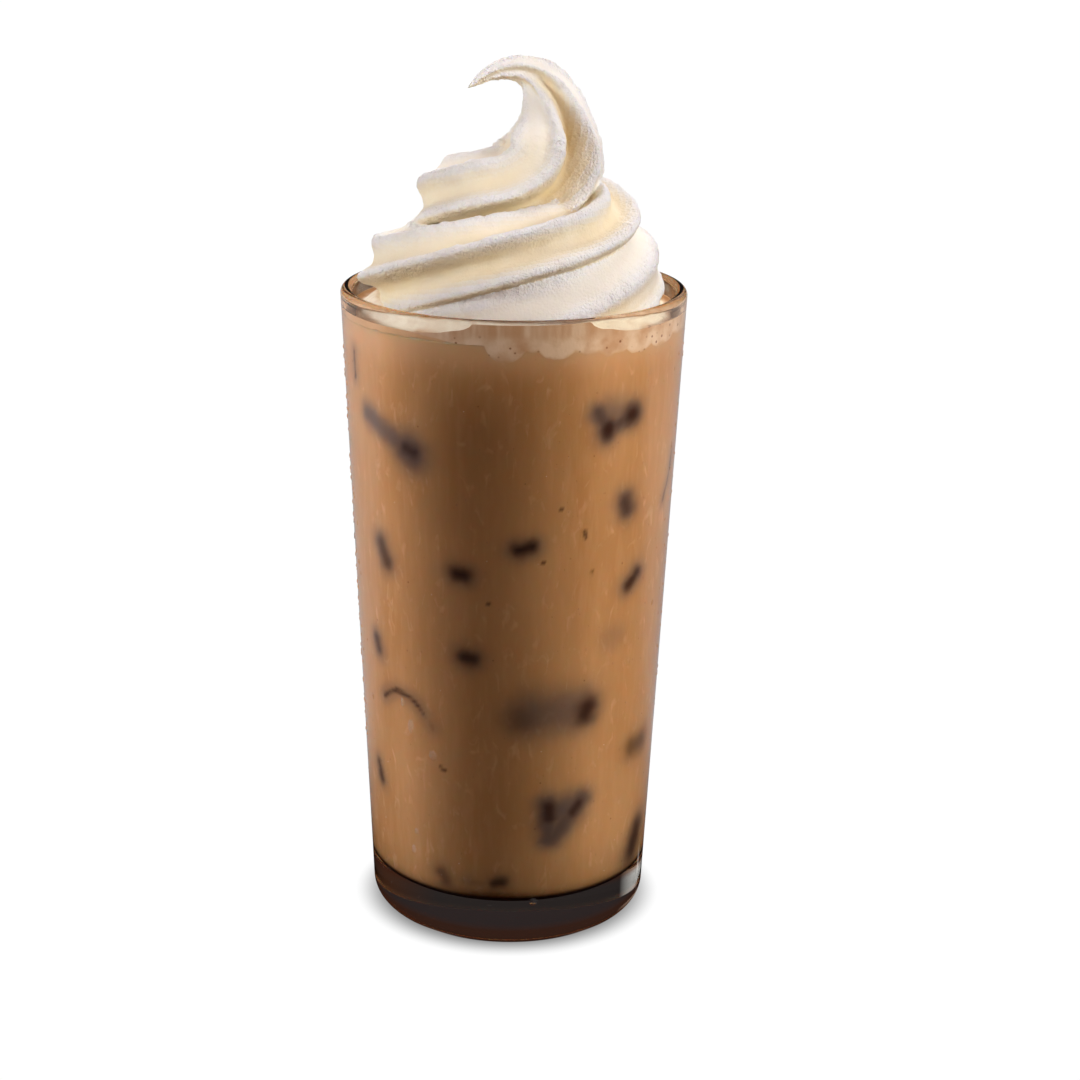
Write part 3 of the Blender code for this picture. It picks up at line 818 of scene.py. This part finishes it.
def make_water():
    """Beads and drops on the outside of the cold glass, each a flattened dome sunk a little into the wall."""
    draw = np.random.default_rng(7)
    small, left, right = 1500, 90, 40
    beads = scattered(draw.uniform(0, 360, small), draw.uniform(10, 152, small),
                      0.16 + 0.30 * draw.random(small) ** 3, draw.uniform(1.0, 1.5, small))
    # larger ones stand out along both sides
    beads += scattered(draw.normal(184, 7, left), draw.uniform(45, 148, left),
                       draw.uniform(0.6, 1.3, left), draw.uniform(1.0, 1.6, left))
    beads += scattered(draw.normal(352, 6, right), draw.uniform(60, 150, right),
                       draw.uniform(0.5, 0.9, right), draw.uniform(1.0, 1.6, right))
    beads += DROPS
    sides, rows = 10, 4
    points, faces = [], []
    slope = (RIM_RADIUS - FOOT_RADIUS) / (HEIGHT - RIM_ROUND - FOOT_HEIGHT)
    for angle, height, width, length in beads:
        a = math.radians(angle)
        out = np.array([math.cos(a), math.sin(a), -slope])
        out /= np.linalg.norm(out)
        side = np.array([-math.sin(a), math.cos(a), 0.0])
        down = np.cross(side, out)
        r = outer_radius(height)
        middle = np.array([r * math.cos(a), r * math.sin(a), height]) - out * SUNK
        base = len(points)
        for i in range(rows):
            lift = math.radians(88.0 * i / (rows - 0.5))
            for j in range(sides):
                turn = math.tau * j / sides
                flat = side * math.cos(turn) * width / 2 + down * math.sin(turn) * length / 2
                high = SUNK + DROP_SHAPE * width * math.sin(lift) ** 2
                points.append(middle + flat * math.cos(lift) + out * high)
        points.append(middle + out * (SUNK + DROP_SHAPE * width))
        for i in range(rows - 1):
            faces += band(base + i * sides, base + (i + 1) * sides, sides)
        last = base + (rows - 1) * sides
        crown = base + rows * sides
        faces += [(last + j, last + (j + 1) % sides, crown) for j in range(sides)]
    water = placed("condensation", mesh_of("condensation", points, faces), condensed_water())
    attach(water, "root")


def make_floor():
    """A pale sweep for the glass to stand on, white but for the painted soft shade close round the foot and
    painted dark under it.
    """
    material = bare("pale sweep")
    path = add(material, "LightPath")
    place = add(material, "TexCoord").outputs["Object"]
    # the painted shade is an oval, a touch to the left of the foot
    spread = add(material, "VectorMath", {0: place, 1: SHADE_SHIFT}, operation="ADD")
    spread = add(material, "VectorMath", {0: spread.outputs[0], 1: (1 / SHADE_WIDE, 1 / SHADE_LONG, 0.0)},
                 operation="MULTIPLY")
    far = add(material, "VectorMath", {0: spread.outputs[0]}, operation="LENGTH").outputs["Value"]
    shade = add(material, "MapRange", {"Value": far, "From Min": 0.75, "From Max": 1.0, "To Min": 0.26,
                                       "To Max": SWEEP_WHITE}, interpolation_type="SMOOTHSTEP")
    glow = add(material, "Emission", {"Color": tint("#FFFFFF"), "Strength": shade.outputs[0]})
    # painted shadow: under and close round the foot the paper is painted near black for light that bounces
    # off it
    clear = add(material, "MapRange", {"Value": far, "From Min": 1.2, "From Max": 3.2},
                interpolation_type="SMOOTHSTEP")
    paper = add(material, "BsdfDiffuse", {"Color": mix(material, clear.outputs[0], "#1C1815", "#A09A94")})
    # behind the glass it is bright, and the glass's upright sides mirror that
    aim = add(material, "SeparateXYZ", {0: place})
    behind = add(material, "MapRange", {"Value": aim.outputs["Y"], "From Min": 0.02, "From Max": 0.10})
    mirrored = add(material, "Math", {0: behind.outputs[0], 1: path.outputs["Is Glossy Ray"]},
                   operation="MULTIPLY")
    bright = add(material, "Emission", {"Color": tint("#F6F8FF"), "Strength": 0.42})
    sweep = add(material, "MixShader", {0: mirrored.outputs[0], 1: paper.outputs[0], 2: bright.outputs[0]})
    # painted shade: seen through the glass, the sweep glows a dim dark brown instead
    under = add(material, "Emission", {"Color": tint("#33201A")})
    plain = add(material, "MixShader", {0: through_glass(material), 1: sweep.outputs[0], 2: under.outputs[0]})
    seen = add(material, "MixShader", {0: path.outputs["Is Camera Ray"], 1: plain.outputs[0],
                                       2: glow.outputs[0]})
    add(material, "OutputMaterial", {"Surface": seen.outputs[0]})
    form = bmesh.new()
    bmesh.ops.create_grid(form, x_segments=4, y_segments=4, size=5.0)
    mesh = bpy.data.meshes.new("sweep")
    form.to_mesh(mesh)
    form.free()
    sweep = placed("sweep", mesh, material, smooth=False)
    sweep.location.z = -0.0002
    return sweep


def toward(across, up=0.0):
    """The direction so many degrees to the right of the camera and upward, seen from the glass."""
    a, e = math.radians(across), math.radians(up)
    return Vector((math.sin(a) * math.cos(e), -math.cos(a) * math.cos(e), math.sin(e)))


def soft_box(name, direction, size, power, colour, receivers, far=BOX_FAR):
    """A lamp that looks at the glass and lights what the collection of receivers lets it light."""
    light = bpy.data.lights.new(name, "AREA")
    light.shape = "RECTANGLE"
    light.size, light.size_y = size
    light.energy = power
    light.color = tint(colour)[:3]
    box = bpy.data.objects.new(name, light)
    box.location = Vector((0.0, 0.0, 0.12)) + far * toward(*direction)
    box.rotation_euler = toward(*direction).to_track_quat("Z", "Y").to_euler()
    box.visible_glossy = box.visible_transmission = False
    bpy.context.scene.collection.objects.link(box)
    box.light_linking.receiver_collection = receivers


def flag(name, direction, near_edge, far_edge, bottom, top, lean=0.0):
    """A black card in a lamp's beam. Its edges are given as they fall on the glass; the near one can lean."""
    across, up = direction
    away = toward(across)
    beside = Vector((-away.y, away.x, 0.0))
    middle = CARD_FAR * away
    rise = Vector((0.0, 0.0, CARD_FAR * math.tan(math.radians(up))))
    edges = ((near_edge, bottom), (far_edge, bottom), (far_edge, top), (near_edge + lean, top))
    corners = [middle + beside * u + Vector((0.0, 0.0, z)) + rise for u, z in edges]
    mesh = bpy.data.meshes.new(name)
    mesh.from_pydata([tuple(c) for c in corners], [], [(0, 1, 2, 3)])
    material = bare(name)
    black = add(material, "BsdfTransparent", {"Color": tint("#000000")})
    add(material, "OutputMaterial", {"Surface": black.outputs[0]})
    card = placed(name, mesh, material, smooth=False)
    card.visible_camera = card.visible_glossy = card.visible_transmission = card.visible_diffuse = False


def lit_or_not(name, pieces, state):
    """A collection for lamps that light only these pieces, or all but these."""
    held = bpy.data.collections.new(name)
    for piece in pieces:
        held.objects.link(piece)
    for member in held.collection_objects:
        member.light_linking.link_state = state
    return held


def light_it(sweep, serve):
    """A dim warm room, a soft box at each side with cards that keep it off the front, others behind."""
    unlit = lit_or_not("unlit", [sweep], "EXCLUDE")
    lower = lit_or_not("lower", [sweep, serve], "EXCLUDE")
    cream = lit_or_not("cream", [serve], "INCLUDE")
    soft_box("right box on the cream", RIGHT_SIDE, RIGHT_SIZE, CREAM_RIGHT, "#F9FCFF", cream)
    soft_box("left box on the cream", LEFT_SIDE, LEFT_SIZE, CREAM_LEFT, "#F8FDFF", cream)
    soft_box("bounce on the cream", (-20, 6), (0.50, 0.30), CREAM_FRONT, "#FFF8EE", cream)
    soft_box("right box", RIGHT_SIDE, RIGHT_SIZE, RIGHT, "#F8FFFE", lower)
    flag("right card", RIGHT_SIDE, -0.0165, -0.20, -0.05, 0.148, lean=-0.0065)
    flag("low right card", RIGHT_SIDE, -0.018, 0.20, -0.05, 0.010)
    soft_box("left box", LEFT_SIDE, LEFT_SIZE, LEFT, "#E5F0FF", lower)
    flag("left card", LEFT_SIDE, 0.021, 0.20, -0.05, 0.148)
    flag("low left card", LEFT_SIDE, 0.021, -0.20, -0.05, 0.010)
    soft_box("top box", (150, 62), (0.50, 0.40), TOP, "#FBFCFF", unlit, far=0.70)
    soft_box("back box", (185, 22), (0.36, 0.30), BACK, "#FFFDFA", unlit)
    world = bpy.data.worlds.new("dim room")
    bpy.context.scene.world = world
    world.use_nodes = True
    world.node_tree.nodes.clear()
    sky = add(world, "Background", {"Color": tint(ROOM), "Strength": ROOM_STRENGTH})
    # dark cards stand round it, seen through the foot and in the rim: one brown at the right, a gap far left
    aim = add(world, "SeparateXYZ", {0: add(world, "TexCoord").outputs["Generated"]}).outputs["X"]
    brown = add(world, "MapRange", {"Value": aim, "From Min": 0.35, "From Max": 0.75})
    gap = add(world, "MapRange", {"Value": aim, "From Min": -0.66, "From Max": -0.86})
    dark = mix(world, brown.outputs[0], "#2B2625", "#452A1C")
    cards = add(world, "Background", {"Color": mix(world, gap.outputs[0], dark, "#E8E6E2")})
    path = add(world, "LightPath")
    mirrored = add(world, "Math", {0: through_glass(world), 1: path.outputs["Is Glossy Ray"]},
                   operation="MAXIMUM")
    room = add(world, "MixShader", {0: mirrored.outputs[0], 1: sky.outputs[0], 2: cards.outputs[0]})
    # the sweep goes on up behind the glass, white
    white = add(world, "Background", {"Color": tint("#FFFFFF"), "Strength": SWEEP_WHITE})
    seen = add(world, "MixShader", {0: path.outputs["Is Camera Ray"], 1: room.outputs[0],
                                    2: white.outputs[0]})
    add(world, "OutputWorld", {"Surface": seen.outputs[0]})


def through_glass(material):
    """1 where a surface is seen through glass, with nothing matt between, and 0 elsewhere."""
    path = add(material, "LightPath")
    inside = add(material, "Math", {0: path.outputs["Transmission Depth"], 1: 0.5}, operation="GREATER_THAN")
    first = add(material, "Math", {0: path.outputs["Diffuse Depth"], 1: 0.5}, operation="LESS_THAN")
    return add(material, "Math", {0: inside.outputs[0], 1: first.outputs[0]}, operation="MULTIPLY").outputs[0]


def set_camera():
    """The photograph's view: 0.55 m away, looking 18 degrees down, and turned a little."""
    camera = bpy.data.cameras.new("camera")
    camera.sensor_width = 36.0
    camera.lens = 72.95
    camera.shift_x = 0.0266
    camera.clip_start = 0.01
    holder = bpy.data.objects.new("camera", camera)
    bpy.context.scene.collection.objects.link(holder)
    pitch = math.radians(CAMERA_DOWN)
    back = Vector((0.0, -math.cos(pitch), math.sin(pitch)))
    across = Vector((1.0, 0.0, 0.0))
    up = across.cross(-back)
    turn = Matrix((across, up, back)).transposed().to_4x4()
    place = Vector((0.0, 0.0, CAMERA_AIM)) + CAMERA_FAR * back
    roll = Matrix.Rotation(math.radians(CAMERA_TURN), 4, "Z")
    holder.matrix_world = Matrix.Translation(place) @ turn @ roll
    bpy.context.scene.camera = holder


set_camera()
make_glass()
make_drink()
make_ice()
make_froth()
make_film()
light_it(make_floor(), make_soft_serve())
make_water()
bpy.context.scene.view_settings.view_transform = "Standard"
